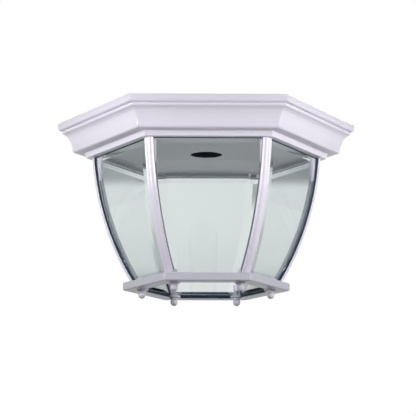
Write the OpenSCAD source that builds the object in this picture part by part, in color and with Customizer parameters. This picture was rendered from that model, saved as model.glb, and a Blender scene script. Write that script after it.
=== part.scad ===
// Hexagonal flush ceiling light for outdoors: a cast canopy with a moulded edge, six curved
// ribs, six bent and bevelled panes, and an open bottom ring held up by six ball nuts.
// The ceiling is the plane z = 0 and the light hangs below it, centred on the Z axis.
// The six corners lie at 0, 60, 120 ... degrees and the six flat sides face between them.

/* [Canopy] */
// Width across the flat sides, at the ceiling
canopy_w = 247.6; // [240:0.2:260]
// Wall of the casting
canopy_wall = 3; // [2.6:0.1:3.4]
// Height of the upright fascia at the ceiling
fascia_h = 7.2; // [6.4:0.1:9]
// Radius that rounds the fascia's lower edge
fascia_round = 3; // [2.4:0.1:3.4]
// Height of the groove between fascia and bead
groove_h = 1.1; // [0.8:0.1:1.4]
// Depth of the groove between fascia and bead
groove_d = 0.9; // [0.6:0.1:1.2]
// Height of the bead under the fascia
bead_h = 4; // [3.4:0.1:4.6]
// How far the bead comes in
bead_in = 4.3; // [3.8:0.1:4.8]
// Height of the cove
cove_h = 13.6; // [12:0.1:18]
// How far the cove comes in
cove_in = 5; // [4.4:0.1:5.6]
// Radius that rounds the cove's toe
toe_round = 2.6; // [2:0.1:3]
// Width of the soffit between cove and lower band
soffit_w = 7.4; // [6.6:0.1:8]
// Height of the lower band
band_h = 5; // [4.8:0.1:6]
// How far the lower band tapers in
band_taper = 1.5; // [1:0.1:2]
// Thickness of the lip that the lower band ends in
lip_t = 4.6; // [4.4:0.1:4.8]
// Width of the rim that meets the ceiling
rim_w = 3; // [2.6:0.1:3.4]
// Width of the foam gasket inside the rim
gasket_w = 2.4; // [2:0.1:2.8]
// Thickness of the foam gasket
gasket_t = 2; // [1.6:0.1:2.4]

/* [Glass] */
// Thickness of the glass
glass_t = 3.2; // [2.8:0.1:3.4]
// Width of the bevel along every edge
bevel_w = 8.5; // [7:0.1:10]
// Angle of the bevel
bevel_angle = 8; // [7:0.5:9]
// How far the panes stand inside the lower band
lip_reveal = 6.2; // [5.8:0.1:6.8]
// How far the panes stand inside the bottom ring's outer face
ring_reveal = 8; // [7.6:0.1:8.4]
// How far the panes swell outwards at half height
pane_bow = 6.8; // [5:0.1:8]
// How deep the panes reach up into the canopy's lip
tuck = 1.9; // [1.4:0.1:2]

/* [Ribs] */
// Height of the cage, from the lip to the top of the ring
cage_h = 120.5; // [100:0.5:135]
// Width of a rib's cap
rib_w = 9.5; // [9:0.1:10.5]
// Width of the raised bead on a rib
rib_bead_w = 5.4; // [4.6:0.1:6]
// How far the bead stands up from the cap
rib_bead_h = 1; // [0.7:0.1:1.2]
// Thickness of the cap at its edges
cap_t = 2; // [1.8:0.1:2.2]
// Thickness of the web between two panes
web_t = 2.5; // [2.2:0.1:2.8]
// Depth of the web, inwards from the cap
web_d = 9.2; // [8.6:0.1:9.8]
// Thickness of the soft seal between cap and glass
seal_t = 1.1; // [0.9:0.1:1.2]
// Radius of the screw bosses in a rib
boss_r = 3.2; // [3:0.05:3.4]
// Length of the upper screw boss
top_boss_l = 22; // [16:0.5:26]
// Length of the lower screw boss
low_boss_l = 6; // [5:0.5:8]

/* [Bottom ring] */
// Width of the ring across its flat sides
ring_w = 137.6; // [132:0.2:142]
// Height of the ring
ring_h = 7.4; // [6.8:0.1:8.4]
// Wall of the ring
ring_wall = 3; // [2.4:0.1:3.2]
// Thickness of the ring's flange
flange_t = 2.4; // [2:0.1:2.8]
// Width of the flange, in from the outer face
flange_w = 14.8; // [14.4:0.1:15.2]
// Radius of the rounded pads in the corners
pad_r = 6.2; // [5.6:0.1:6.6]
// How far the studs stand in from the opening's corners
stud_in = 1.3; // [1:0.1:1.6]

/* [Ball nuts and screws] */
// Radius of the studs and machine screws
screw_r = 2; // [1.75:0.05:2.1]
// Radius of a nut's collar
collar_r = 4.5; // [4.2:0.1:5]
// Height of a nut's collar
collar_h = 1.7; // [1.4:0.1:2.2]
// Radius of a nut's ball
ball_r = 3.6; // [3.4:0.1:3.9]
// Whole height of a nut
nut_h = 7.6; // [7:0.1:8.6]
// Radius of a pan head
head_r = 3.5; // [3.2:0.1:3.8]
// Height of a pan head
head_h = 2.2; // [1.8:0.1:2.4]
// Length of the screws that hold ribs and pan
rib_screw_l = 12; // [10:0.5:15]
// Height of the closed end under a nut's thread
nut_floor = 1.3; // [1:0.1:1.8]
// Radius of the small screws in the lampholder
small_screw_r = 1.5; // [1.25:0.05:1.75]
// Radius of the small screws' heads
small_head_r = 3; // [2.6:0.1:3.4]
// Height of the small screws' heads
small_head_h = 1.7; // [1.3:0.1:2]

/* [Reflector pan] */
// Thickness of the sheet
pan_t = 0.8; // [0.6:0.1:1]
// Radius of the hole under the lampholder
pan_hole_r = 15.5; // [15:0.1:17]
// Height of the pan's underside above the lip's lower face
pan_up = 3.3; // [3.2:0.05:3.5]
// Radius of the flat heads that carry the light, and of the dimples they sit in
flat_head_r = 4.6; // [4.3:0.1:5]
// Thickness of those flat heads
flat_head_h = 1.6; // [1.3:0.1:1.8]

/* [Lampholder] */
// Radius of the lampholder
holder_r = 18.5; // [17.5:0.1:19]
// Height of the lampholder, body and base together
holder_h = 23.2; // [22.4:0.1:23.6]
// Thickness of the base that closes the lampholder at the top
base_t = 4; // [3.6:0.1:4.4]
// Depth of the recess in the base, which holds the centre contact
recess_h = 2.4; // [2.2:0.1:2.6]
// Radius inside the screw shell
shell_r = 13.3; // [13.2:0.05:13.5]
// Sheet thickness of the screw shell
shell_t = 0.5; // [0.4:0.1:0.7]
// How far the shell sits back from the mouth
shell_back = 5.5; // [4.5:0.1:6.5]
// How far the screw shell's flange stands out between body and base
shell_flange = 1.9; // [1.5:0.1:2.3]
// Distance from the axis to the face of a terminal lug
lug_out = 21; // [20:0.5:24]
// Width of a terminal lug
lug_w = 10; // [8:0.5:12]
// Height of a terminal lug
lug_h = 9; // [8:0.5:10]
// Distance from the axis to the screws that hold the lampholder
holder_screw_y = 10; // [8:0.5:12]
// Radius of the rivet that carries the centre contact
rivet_r = 2.1; // [1.8:0.1:2.4]
// Width of the bracket over the lampholder
bracket_w = 16; // [14:0.5:18]
// Sheet thickness of the bracket
bracket_t = 1.2; // [1:0.1:1.4]
// Gap between the bracket's legs and the lampholder
bracket_gap = 1.4; // [1:0.1:2]
// Length of each foot of the bracket
bracket_foot = 11; // [9:0.5:14]

/* [Mounting strap] */
// Length of the strap
strap_l = 128; // [124:1:150]
// Width of the strap
strap_w = 22; // [20:0.5:26]
// Thickness of the strap
strap_t = 1.6; // [1.4:0.1:2]
// Spacing of the slots for the screws of the ceiling box
box_spacing = 88.9; // [82.6:0.1:92]
// Length of a slot
slot_l = 12; // [8:0.5:14]
// Radius of a slot's end
slot_r = 2.3; // [2.1:0.05:2.6]
// Radius of the strap's corners
strap_corner = 4; // [2:0.5:6]
// Distance of the earth screw from the centre
earth_x = 24; // [20:0.5:28]
// Height of the earth screw's head
earth_head_h = 2.95; // [2.4:0.05:3.4]
// Spacing of the two screws that carry the light
carry_spacing = 110; // [108:0.5:116]
// Radius of the centre hole
centre_hole_r = 5.1; // [4.8:0.1:5.6]

/* [Fits] */
// Gap between parts that are only put together
seat_gap = 0.3; // [0.2:0.05:0.35]
// Radial gap round a screw or stud in its thread
thread_gap = 0.05; // [0.04:0.01:0.08]
// Radial gap round a stud in the ring's hole
hole_gap = 0.3; // [0.2:0.05:0.4]
// Gap between a nut and the ring it holds
nut_gap = 0.1; // [0.05:0.05:0.2]
// Gap between the side of a pane and the web beside it
side_gap = 1.35; // [1:0.05:1.6]

/* [Hidden] */

$fn = 64;
sides = 6;
half_turn = 180 / sides;
eps = 0.05;
paint = [0.88, 0.86, 0.90];
zinc = [0.72, 0.73, 0.75];

// Heights of the canopy's steps, from the ceiling down
z_fascia = -fascia_h;
z_groove = z_fascia - groove_h;
z_bead = z_groove - bead_h;
z_cove = z_bead - cove_h;
z_soffit = z_cove - toe_round;
z_lip = z_soffit - band_h;
z_lip_top = z_lip + lip_t;
z_pan = z_lip + pan_up;
z_pan_top = z_pan + pan_t;

// Half widths of the same steps, square to a flat side
a_rim = canopy_w / 2;
a_fascia = a_rim - fascia_round;
a_bead = a_fascia - bead_in;
a_cove = a_bead - cove_in;
a_toe = a_cove - toe_round;
a_band = a_toe - soffit_w;
a_lip = a_band - band_taper;

// Outer face of the glass: a circle in the plane square to a pane
a_glass_top = a_lip - lip_reveal;
a_ring = ring_w / 2;
a_glass_low = a_ring - ring_reveal;
z_ring = z_lip - cage_h;
z_ring_low = z_ring - ring_h;
z_flange = z_ring_low + flange_t;
z_foot = z_flange + seat_gap;
z_mid = (z_lip + z_ring) / 2;
a_glass_mid = (a_glass_top + a_glass_low) / 2 + pane_bow;
glass_arc = bowed(1, 0);
// The same swell along a corner, where two panes would meet, sets the ribs
corner_arc = bowed(1 / cos(half_turn), 0);
// Half width that a pane loses at each side to clear the web
pane_edge = web_t / 2 + side_gap;
bevel_arc = bowed(cos(half_turn - bevel_angle) / cos(half_turn),
    (pane_edge / cos(half_turn) + bevel_w) * sin(bevel_angle));
bevel_loss = bevel_w * tan(bevel_angle);

// Lip opening, the groove that takes the panes' top edges, and the pan's seat
lip_groove_w = 2.8;
lip_curb = 1.6;
a_groove = a_glass_top - glass_t - seat_gap;
a_opening = a_groove - lip_curb;
pan_ledge = 2.4;
a_pan_seat = a_opening + pan_ledge;
a_pan = a_pan_seat - seat_gap;
boss_in = 2;
r_top_boss = a_opening / cos(half_turn) - boss_in;
a_ring_open = a_ring - flange_w;
r_stud = a_ring_open / cos(half_turn) - stud_in;
bore_r = screw_r + thread_gap;
small_bore_r = small_screw_r + thread_gap;
z_low_boss = z_ring - 0.5;
z_low_bore = z_low_boss + low_boss_l - 1;
z_nut = z_ring_low - nut_gap;
z_stud_end = z_nut - nut_h + nut_floor + seat_gap;

// Flat-headed screws sit in pressed dimples in the pan
dimple_r = flat_head_r + seat_gap;
dimple_h = flat_head_h + seat_gap;

// Section of a rib, as distances out from the corner arc and to one side
cap_slope = 0.33;
cap_edge = rib_w / 2;
cap_at_web = -cap_t + cap_slope * (cap_edge - web_t / 2);
seal_in = 0.35;

// Lampholder levels, from the mouth up
z_mouth = z_pan_top + seat_gap;
z_holder_top = z_mouth + holder_h;
z_bracket_top = z_holder_top + bracket_t;
z_base = z_holder_top - base_t;
z_shell = z_mouth + shell_back;
recess_r = 0.45 * shell_r;
bracket_inside = holder_r + bracket_gap;
z_lug = z_base - lug_h / 2;
blade_t = 0.5;
blade_w = 2 * rivet_r + 0.2;

// Points on the circular arc that runs from p through q to r
function circle_of(p, q, r) =
    let (
        d = 2 * (p.x * (q.y - r.y) + q.x * (r.y - p.y) + r.x * (p.y - q.y)),
        x = (p * p * (q.y - r.y) + q * q * (r.y - p.y) + r * r * (p.y - q.y)) / d,
        y = (p * p * (r.x - q.x) + q * q * (p.x - r.x) + r * r * (q.x - p.x)) / d
    ) [x, y, norm(p - [x, y])];
function arc(p, q, r, steps) =
    let (
        k = circle_of(p, q, r),
        from = atan2(p.y - k.y, p.x - k.x),
        to = atan2(r.y - k.y, r.x - k.x),
        sweep = (to - from + 540) % 360 - 180
    ) [for (i = [0:steps]) [k.x, k.y] + k.z * [cos(from + sweep * i / steps), sin(from + sweep * i / steps)]];
// Circle through the glass's three levels, with half widths stretched and then brought in
function bowed(stretch, less) = circle_of(
    [a_glass_top * stretch - less, z_lip],
    [a_glass_mid * stretch - less, z_mid],
    [a_glass_low * stretch - less, z_ring]);
// Distance from the axis to the glass's outer face at a height
function glass_face(z) = glass_arc.x + sqrt(pow(glass_arc.z, 2) - pow(z - glass_arc.y, 2));
function mirrored(points) = concat(points, [for (i = [len(points) - 1:-1:0]) [-points[i].x, points[i].y]]);

// Outline of the canopy, from the ceiling down
cove = arc([a_bead, z_bead], [a_bead - 0.56 * cove_in, z_bead - 0.34 * cove_h], [a_cove, z_cove], 7);
outline = concat(
    [[a_rim, 0]],
    arc([a_rim, z_fascia + fascia_round], [a_rim - 0.3 * fascia_round, z_fascia + 0.3 * fascia_round],
        [a_fascia, z_fascia], 5),
    [[a_fascia - groove_d, z_fascia - 0.4 * groove_h]],
    arc([a_fascia - 0.2, z_groove], [a_fascia - 0.16 * bead_in, z_groove - 0.36 * bead_h],
        [a_fascia - 0.5 * bead_in, z_groove - 0.56 * bead_h], 4),
    cove,
    arc([a_cove, z_cove - 0.1], [a_cove - 0.3 * toe_round, z_soffit + 0.3 * toe_round], [a_toe, z_soffit], 5),
    [[a_band, z_soffit], [a_lip, z_lip]]);
hollow = concat(
    [[a_rim - rim_w, eps], [a_rim - rim_w, -gasket_t], [a_rim - rim_w - gasket_w, -gasket_t]],
    [[a_rim - rim_w - gasket_w, z_fascia + fascia_round]],
    [[a_fascia - groove_d - canopy_wall, z_groove]],
    [for (p = cove) [p.x - canopy_wall, p.y]],
    [[a_cove - canopy_wall, z_soffit + canopy_wall], [a_band - canopy_wall, z_soffit + canopy_wall]],
    [[a_band - canopy_wall, z_lip_top], [a_pan_seat, z_lip_top], [a_pan_seat, z_pan]],
    [[a_opening, z_pan], [a_opening, z_lip - eps]]);

// A hexagonal body whose half width at each height follows the outline
module moulded(points) {
    intersection_for (turn = [half_turn, 3 * half_turn, 5 * half_turn])
        rotate([0, 0, turn])
        rotate([90, 0, 0])
        linear_extrude(height = 2 * canopy_w, center = true)
        polygon(mirrored(points));
}

module hex(half_width, low, high) {
    translate([0, 0, low]) cylinder(r = half_width / cos(half_turn), h = high - low, $fn = sides);
}

module at_corners(radius) {
    for (i = [0:sides - 1]) rotate([0, 0, i * 2 * half_turn]) translate([radius, 0, 0]) children();
}

module post(radius, low, high) {
    translate([0, 0, low]) cylinder(r = radius, h = high - low);
}

module canopy() {
    color(paint) difference() {
        union() {
            difference() {
                moulded(outline);
                moulded(hollow);
            }
            at_corners(r_top_boss) post(pad_r, z_lip, z_pan);
        }
        difference() {
            hex(a_groove + lip_groove_w, z_lip - eps, z_lip + tuck + seat_gap);
            hex(a_groove, z_lip - 2 * eps, z_lip + tuck + seat_gap + eps);
        }
        at_corners(r_top_boss) post(bore_r, z_lip - eps, z_pan + eps);
    }
}

module ceiling_gasket() {
    color([0.2, 0.2, 0.22]) difference() {
        hex(a_rim - rim_w - 0.1, -gasket_t, 0);
        hex(a_rim - rim_w - gasket_w + 0.1, -gasket_t - eps, eps);
    }
}

module reflector_pan() {
    color(paint) difference() {
        union() {
            hex(a_pan, z_pan, z_pan_top);
            for (x = [-0.5, 0.5] * carry_spacing)
                translate([x, 0, 0]) post(dimple_r + pan_t, z_pan, z_pan_top + dimple_h);
        }
        post(pan_hole_r, z_pan - eps, z_pan_top + eps);
        for (x = [-0.5, 0.5] * carry_spacing) translate([x, 0, 0]) {
            post(dimple_r, z_pan - eps, z_pan + dimple_h);
            post(screw_r + hole_gap, z_pan, z_pan_top + dimple_h + eps);
        }
        at_corners(r_top_boss) post(bore_r, z_pan - eps, z_pan_top + eps);
    }
}

// Pan-head screws from above, through pan and lip into the ribs
module rib_screws() {
    color(zinc) at_corners(r_top_boss) {
        post(screw_r, z_pan_top - rib_screw_l, z_pan_top + 0.5 * head_h);
        pan_head(z_pan_top);
    }
}

module pan_head(low) {
    difference() {
        translate([0, 0, low]) rotate_extrude()
            polygon(concat([[0, 0], [head_r, 0]],
                arc([head_r, 0.4 * head_h], [0.8 * head_r, 0.85 * head_h], [0.45 * head_r, head_h], 4),
                [[0, head_h]]));
        for (turn = [0, 90]) rotate([0, 0, turn])
            translate([-0.55 * head_r, -0.4, low + 0.55 * head_h]) cube([1.1 * head_r, 0.8, head_h]);
    }
}

// A sheet bracket like a hat: its feet stand on the pan and its crown carries the lampholder
module lampholder_bracket() {
    crown = 2 * (bracket_inside + bracket_t);
    color(zinc) difference() {
        translate([-bracket_w / 2, 0, 0]) rotate([90, 0, 90]) linear_extrude(height = bracket_w)
            polygon(mirrored([
                [crown / 2 - 1, z_bracket_top], [crown / 2, z_bracket_top - 1],
                [crown / 2, z_pan_top + bracket_t], [crown / 2 + bracket_foot, z_pan_top + bracket_t],
                [crown / 2 + bracket_foot, z_pan_top], [bracket_inside, z_pan_top],
                [bracket_inside, z_holder_top], [0, z_holder_top]]));
        for (y = [-holder_screw_y, holder_screw_y])
            translate([0, y, 0]) post(bore_r, z_holder_top - eps, z_bracket_top + eps);
        post(rivet_r + 1, z_holder_top - eps, z_bracket_top + eps);
    }
}

// The disc that the bracket is screwed to, with a recess for the centre contact
module lampholder_base() {
    color([0.06, 0.06, 0.07]) difference() {
        post(holder_r, z_base, z_holder_top);
        post(recess_r, z_base - eps, z_base + recess_h);
        post(rivet_r + thread_gap, z_base, z_holder_top + eps);
        for (y = [-holder_screw_y, holder_screw_y])
            translate([0, y, 0]) post(small_bore_r, z_holder_top - 2.4, z_holder_top + eps);
    }
}

// The sleeve round the screw shell, with a lug for each terminal screw
module lampholder_body() {
    color([0.06, 0.06, 0.07]) difference() {
        union() {
            post(holder_r, z_mouth, z_base);
            for (side = [0, 180]) rotate([0, 0, side])
                translate([0, -lug_w / 2, z_lug - lug_h / 2]) cube([lug_out, lug_w, lug_h]);
        }
        post(shell_r + shell_t + 0.15, z_mouth - eps, z_base + eps);
        post(shell_r + shell_flange + 0.1, z_base - shell_t - eps, z_base + eps);
        for (side = [0, 180]) rotate([0, 0, side])
            translate([lug_out - 4, 0, z_lug]) rotate([0, 90, 0]) cylinder(r = small_bore_r, h = 4 + eps);
    }
}

// The brass shell that takes the lamp's screw cap, held by its flange between body and base
module screw_shell() {
    color([0.80, 0.66, 0.30]) difference() {
        union() {
            post(shell_r + shell_t, z_shell, z_base);
            post(shell_r + shell_flange, z_base - shell_t, z_base);
        }
        post(shell_r, z_shell - eps, z_base + eps);
    }
}

// Spring contact for the lamp's tip, riveted through the base and bent back on itself
module centre_contact() {
    z_blade = z_base + recess_h - blade_t;
    z_leaf = z_base + 0.2;
    color([0.82, 0.68, 0.32]) union() {
        post(rivet_r, z_blade - 0.1, z_holder_top - 0.4);
        translate([-blade_w / 2, -blade_w / 2, z_blade]) cube([blade_w, blade_w, blade_t]);
        translate([-blade_w / 2, -blade_w / 2, z_leaf]) cube([blade_t, blade_w, z_blade - z_leaf + eps]);
        translate([-blade_w / 2, -blade_w / 2, z_leaf]) cube([blade_w / 2 + rivet_r, blade_w, blade_t]);
    }
}

module holder_screws() {
    color(zinc) for (y = [-holder_screw_y, holder_screw_y]) translate([0, y, 0]) {
        post(small_screw_r, z_holder_top - 2.2, z_bracket_top + 0.5);
        post(small_head_r, z_bracket_top, z_bracket_top + small_head_h);
    }
}

module terminal_screws() {
    for (side = [0, 180]) color(side == 0 ? [0.80, 0.66, 0.30] : zinc)
        rotate([0, 0, side]) translate([0, 0, z_lug]) rotate([0, 90, 0]) difference() {
            union() {
                translate([0, 0, lug_out - 3.6]) cylinder(r = small_screw_r, h = 4);
                translate([0, 0, lug_out + eps]) cylinder(r = small_head_r, h = small_head_h);
            }
            translate([-small_head_r - 1, -0.4, lug_out + 0.6 * small_head_h])
                cube([2 * small_head_r + 2, 0.8, small_head_h]);
        }
}

module slot(low, high) {
    x_end = slot_l / 2 - slot_r;
    for (x = [-x_end, x_end]) translate([x, 0, 0]) post(slot_r, low, high);
    translate([-x_end, -slot_r, low]) cube([2 * x_end, 2 * slot_r, high - low]);
}

module mounting_strap() {
    x_end = strap_l / 2 - strap_corner;
    y_end = strap_w / 2 - strap_corner;
    color(zinc) difference() {
        union() {
            translate([-strap_l / 2, -y_end, -strap_t]) cube([strap_l, 2 * y_end, strap_t]);
            translate([-x_end, -strap_w / 2, -strap_t]) cube([2 * x_end, strap_w, strap_t]);
            for (x = [-x_end, x_end], y = [-y_end, y_end])
                translate([x, y, 0]) post(strap_corner, -strap_t, 0);
        }
        for (x = [-0.5, 0.5] * box_spacing) translate([x, 0, 0]) slot(-strap_t - eps, eps);
        for (x = [-0.5, 0.5] * carry_spacing) translate([x, 0, 0]) post(bore_r, -strap_t - eps, eps);
        post(centre_hole_r, -strap_t - eps, eps);
        translate([earth_x, 0, 0]) post(bore_r, -strap_t - eps, eps);
    }
}

// Flat-headed screws that pull the canopy up to the strap
module canopy_screws() {
    z_head = z_pan + dimple_h - eps;
    color(paint) for (x = [-0.5, 0.5] * carry_spacing) translate([x, 0, 0]) difference() {
        union() {
            post(screw_r, z_head - 0.5, 0);
            post(flat_head_r, z_head - flat_head_h, z_head);
        }
        for (turn = [45, 135]) rotate([0, 0, turn])
            translate([-0.5 * flat_head_r, -0.45, z_head - flat_head_h - eps]) cube([flat_head_r, 0.9, 0.9]);
    }
}

module earth_screw() {
    z_head = -strap_t - eps - earth_head_h;
    color([0.15, 0.45, 0.22]) translate([earth_x, 0, 0]) difference() {
        union() {
            post(screw_r, z_head + 1, 0);
            hex(head_r, z_head, z_head + earth_head_h);
        }
        translate([-2 * head_r, -0.5, z_head - eps]) cube([4 * head_r, 1, 1]);
    }
}

// A bar of the given section, bent along the corner arc
module bent(section) {
    translate([corner_arc.x, 0, corner_arc.y])
        rotate([90, 0, 0])
        rotate([0, 0, -45])
        rotate_extrude(angle = 60, $fn = 360)
        translate([corner_arc.z, 0]) polygon(section);
}

module between(low, high) {
    intersection() {
        children();
        translate([0, -canopy_w / 4, low]) cube([canopy_w, canopy_w / 2, high - low]);
    }
}

// Half of the cap's section: the bead, the flat beside it, the edge and the face on the seal
half_cap = concat(
    arc([rib_bead_h, 0], [0.62 * rib_bead_h, 0.36 * rib_bead_w], [0, 0.5 * rib_bead_w], 4),
    [[0, cap_edge - 0.4], [-0.4, cap_edge], [-cap_t, cap_edge], [cap_at_web, web_t / 2]]);
rib_section = concat(
    half_cap, [[-web_d + 0.5, web_t / 2], [-web_d, web_t / 2 - 0.5]],
    [[-web_d, 0.5 - web_t / 2], [-web_d + 0.5, -web_t / 2]],
    [for (i = [len(half_cap) - 1:-1:1]) [half_cap[i].x, -half_cap[i].y]]);

// A curved rib with its two screw bosses; its foot is stepped to pass outside the stud
module rib() {
    color(paint) difference() {
        union() {
            between(z_foot, z_lip) bent(rib_section);
            translate([r_top_boss, 0, 0]) post(boss_r, z_lip - top_boss_l, z_lip);
            translate([r_stud, 0, 0]) post(boss_r, z_low_boss, z_low_boss + low_boss_l);
        }
        translate([r_top_boss, 0, 0]) post(bore_r, z_pan_top - rib_screw_l - 1, z_lip + eps);
        translate([r_stud, 0, 0]) post(bore_r, z_low_boss - eps, z_low_bore);
        translate([0, -rib_w, z_ring_low]) cube([r_stud + bore_r, 2 * rib_w, z_low_boss - z_ring_low]);
    }
}

// Two soft strips under each rib's cap, which the panes bear on
module glass_seals() {
    outer = cap_edge - 0.15;
    inner = web_t / 2 + seal_in;
    face_outer = -cap_t + cap_slope * (cap_edge - outer);
    face_inner = -cap_t + cap_slope * (cap_edge - inner);
    color([0.08, 0.10, 0.14]) at_corners(0) for (side = [-1, 1])
        between(z_foot, z_lip) bent([
            [face_outer, side * outer], [face_inner, side * inner],
            [face_inner - seal_t, side * inner], [face_outer - seal_t, side * outer]]);
}

module drum(k, less = 0) {
    translate([k.x, 0, k.y]) rotate([90, 0, 0])
        cylinder(r = k.z - less, h = canopy_w, center = true, $fn = 360);
}

// A pane, facing +X: a bent sheet cut to its wedge, with a bevel along its four edges
module pane() {
    high = z_lip + tuck;
    apex = pane_edge / sin(half_turn);
    reach = a_rim;
    half = (reach - apex) * tan(half_turn);
    top_face = glass_face(high - bevel_w);
    top_edge = glass_face(high) - bevel_loss;
    lean = atan((z_mid - z_ring) / (a_glass_mid - a_glass_low));
    low_rise = bevel_w * sin(lean);
    low_face = glass_face(z_foot + low_rise);
    low_edge = glass_face(z_foot) - bevel_loss / sin(lean);
    color([0.80, 0.90, 0.88, 0.45]) intersection() {
        difference() {
            drum(glass_arc);
            drum(glass_arc, glass_t);
        }
        rotate([0, 0, bevel_angle]) drum(bevel_arc);
        rotate([0, 0, -bevel_angle]) drum(bevel_arc);
        translate([0, 0, z_foot]) linear_extrude(height = high - z_foot)
            polygon([[apex, 0], [reach, half], [reach, -half]]);
        rotate([90, 0, 0]) linear_extrude(height = canopy_w, center = true)
            polygon([
                [0, high], [top_edge, high], [top_face, high - bevel_w], [reach, high - bevel_w],
                [reach, z_foot + low_rise], [low_face, z_foot + low_rise], [low_edge, z_foot], [0, z_foot]]);
    }
}

module bottom_ring() {
    color(paint) difference() {
        union() {
            difference() {
                moulded([[a_ring - 0.6, z_ring], [a_ring, z_ring - 0.6], [a_ring, z_ring_low + 0.9],
                    [a_ring - 0.9, z_ring_low]]);
                hex(a_ring - ring_wall, z_flange, z_ring + eps);
                hex(a_ring_open, z_ring_low - eps, z_flange + eps);
            }
            at_corners(r_stud) post(pad_r, z_ring_low, z_flange);
        }
        at_corners(r_stud) post(screw_r + hole_gap, z_ring_low - eps, z_flange + eps);
    }
}

module ring_studs() {
    color(zinc) at_corners(r_stud) post(screw_r, z_stud_end, z_low_bore - seat_gap);
}

// A nut like a ball on a collar, with a blind thread
module ball_nut() {
    centre = ball_r - nut_h;
    neck_r = 0.8 * ball_r;
    color(paint) translate([r_stud, 0, z_nut]) difference() {
        rotate_extrude() union() {
            intersection() {
                translate([0, centre]) circle(r = ball_r);
                translate([0, -nut_h]) square([ball_r, nut_h]);
            }
            translate([0, centre]) square([neck_r, -centre]);
            translate([0, -collar_h]) square([collar_r, collar_h]);
        }
        post(bore_r, nut_floor - nut_h, eps);
    }
}

module at_corner(i) {
    rotate([0, 0, (i - 1) * 2 * half_turn]) children();
}

canopy();
ceiling_gasket();
reflector_pan();
rib_screws();
lampholder_bracket();
lampholder_base();
lampholder_body();
screw_shell();
centre_contact();
holder_screws();
terminal_screws();
mounting_strap();
canopy_screws();
earth_screw();
at_corner(1) rib();  // rib_1
at_corner(2) rib();  // rib_2
at_corner(3) rib();  // rib_3
at_corner(4) rib();  // rib_4
at_corner(5) rib();  // rib_5
at_corner(6) rib();  // rib_6
glass_seals();
at_corner(1.5) pane();  // glass_1
at_corner(2.5) pane();  // glass_2
at_corner(3.5) pane();  // glass_3
at_corner(4.5) pane();  // glass_4
at_corner(5.5) pane();  // glass_5
at_corner(6.5) pane();  // glass_6
bottom_ring();
ring_studs();
at_corner(1) ball_nut();  // ball_nut_1
at_corner(2) ball_nut();  // ball_nut_2
at_corner(3) ball_nut();  // ball_nut_3
at_corner(4) ball_nut();  // ball_nut_4
at_corner(5) ball_nut();  // ball_nut_5
at_corner(6) ball_nut();  // ball_nut_6
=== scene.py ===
import math

import bmesh
import bpy
from mathutils import Matrix, Vector


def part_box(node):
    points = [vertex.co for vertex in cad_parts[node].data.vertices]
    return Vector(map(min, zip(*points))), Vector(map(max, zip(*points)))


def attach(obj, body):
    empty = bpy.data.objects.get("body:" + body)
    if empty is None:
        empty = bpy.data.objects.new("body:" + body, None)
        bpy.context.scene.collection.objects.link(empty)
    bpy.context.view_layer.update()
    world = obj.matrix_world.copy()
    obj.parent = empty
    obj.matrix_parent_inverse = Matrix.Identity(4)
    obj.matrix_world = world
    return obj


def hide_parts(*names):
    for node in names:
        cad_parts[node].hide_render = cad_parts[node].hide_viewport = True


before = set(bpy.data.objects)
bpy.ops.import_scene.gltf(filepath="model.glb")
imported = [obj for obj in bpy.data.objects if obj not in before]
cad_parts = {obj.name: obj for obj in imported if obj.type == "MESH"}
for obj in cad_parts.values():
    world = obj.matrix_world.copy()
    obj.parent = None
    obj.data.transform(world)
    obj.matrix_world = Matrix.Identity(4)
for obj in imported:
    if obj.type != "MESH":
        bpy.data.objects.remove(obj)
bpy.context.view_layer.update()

# Outdoor ceiling light, seen from below: a moulded hexagonal canopy, curved ribs, bent and
# bevelled panes, and an open ring held by ball nuts. Lengths are metres and the ceiling is z = 0.
# The corners lie at 0, 60, 120 ... degrees, and a flat side faces the camera.

MM = 0.001
SIDES = 6
TURN = 2 * math.pi / SIDES
HALF = TURN / 2
STRETCH = 1 / math.cos(HALF)
UP = Vector((0, 0, 1))
DOWN = -UP
CENTRE = Vector((0, 0, 0))

# What the frame gives
canopy_low, canopy_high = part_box("canopy")
ring_low, ring_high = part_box("bottom_ring")
nut_low, nut_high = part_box("ball_nut_1")
A_RIM = canopy_high.y
Z_LIP = canopy_low.z
A_RING = ring_high.y
Z_RING = ring_high.z
Z_RING_LOW = ring_low.z
Z_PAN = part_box("reflector_pan")[0].z
Z_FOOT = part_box("glass_seals")[0].z
Z_NUT = nut_high.z
NUT_H = nut_high.z - nut_low.z
COLLAR_R = (nut_high.x - nut_low.x) / 2
R_STUD = (nut_high.x + nut_low.x) / 2

# Fineness of the meshes, and gaps that count as none
ROUND_SIDES = 48
PANE_STEPS = 34
RIB_STEPS = 48
NUT_STEPS = 56
BALL_STEPS = 18
COVE_STEPS = 12
BEAD_STEPS = 7
MITRE_SEGMENTS = 4
POST_SEGMENTS = 3
CREASE_ANGLE = math.radians(32)
ANGLE_GAP = 0.01 * HALF
WELD_GAP = 0.002 * MM
CUT_GAP = 0.001 * MM
LEVEL_GAP = 0.01 * MM
BEND_SPARE = 0.005

# Canopy's section
WALL = 3 * MM
FASCIA_H = 7.2 * MM
FASCIA_ROUND = 3 * MM
GROOVE_H = 1.1 * MM
GROOVE_D = 0.9 * MM
BEAD_H = 4 * MM
BEAD_IN = 4.3 * MM
COVE_H = 13.6 * MM
COVE_IN = 5 * MM
TOE_ROUND = 2.6 * MM
SOFFIT_W = 7.4 * MM
BAND_TAPER = 1.5 * MM
LIP_T = 4.6 * MM
RIM_W = 3 * MM
GASKET_W = 2.4 * MM
GASKET_T = 2 * MM
LIP_GROOVE_W = 2.8 * MM
LIP_CURB = 1.6 * MM
PAN_LEDGE = 2.4 * MM
MITRE_ROUND = 1.15 * MM
PAD_SOFT = 0.4 * MM
BEAD_SET_IN = 0.2 * MM
TOE_DROP = 0.1 * MM

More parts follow.
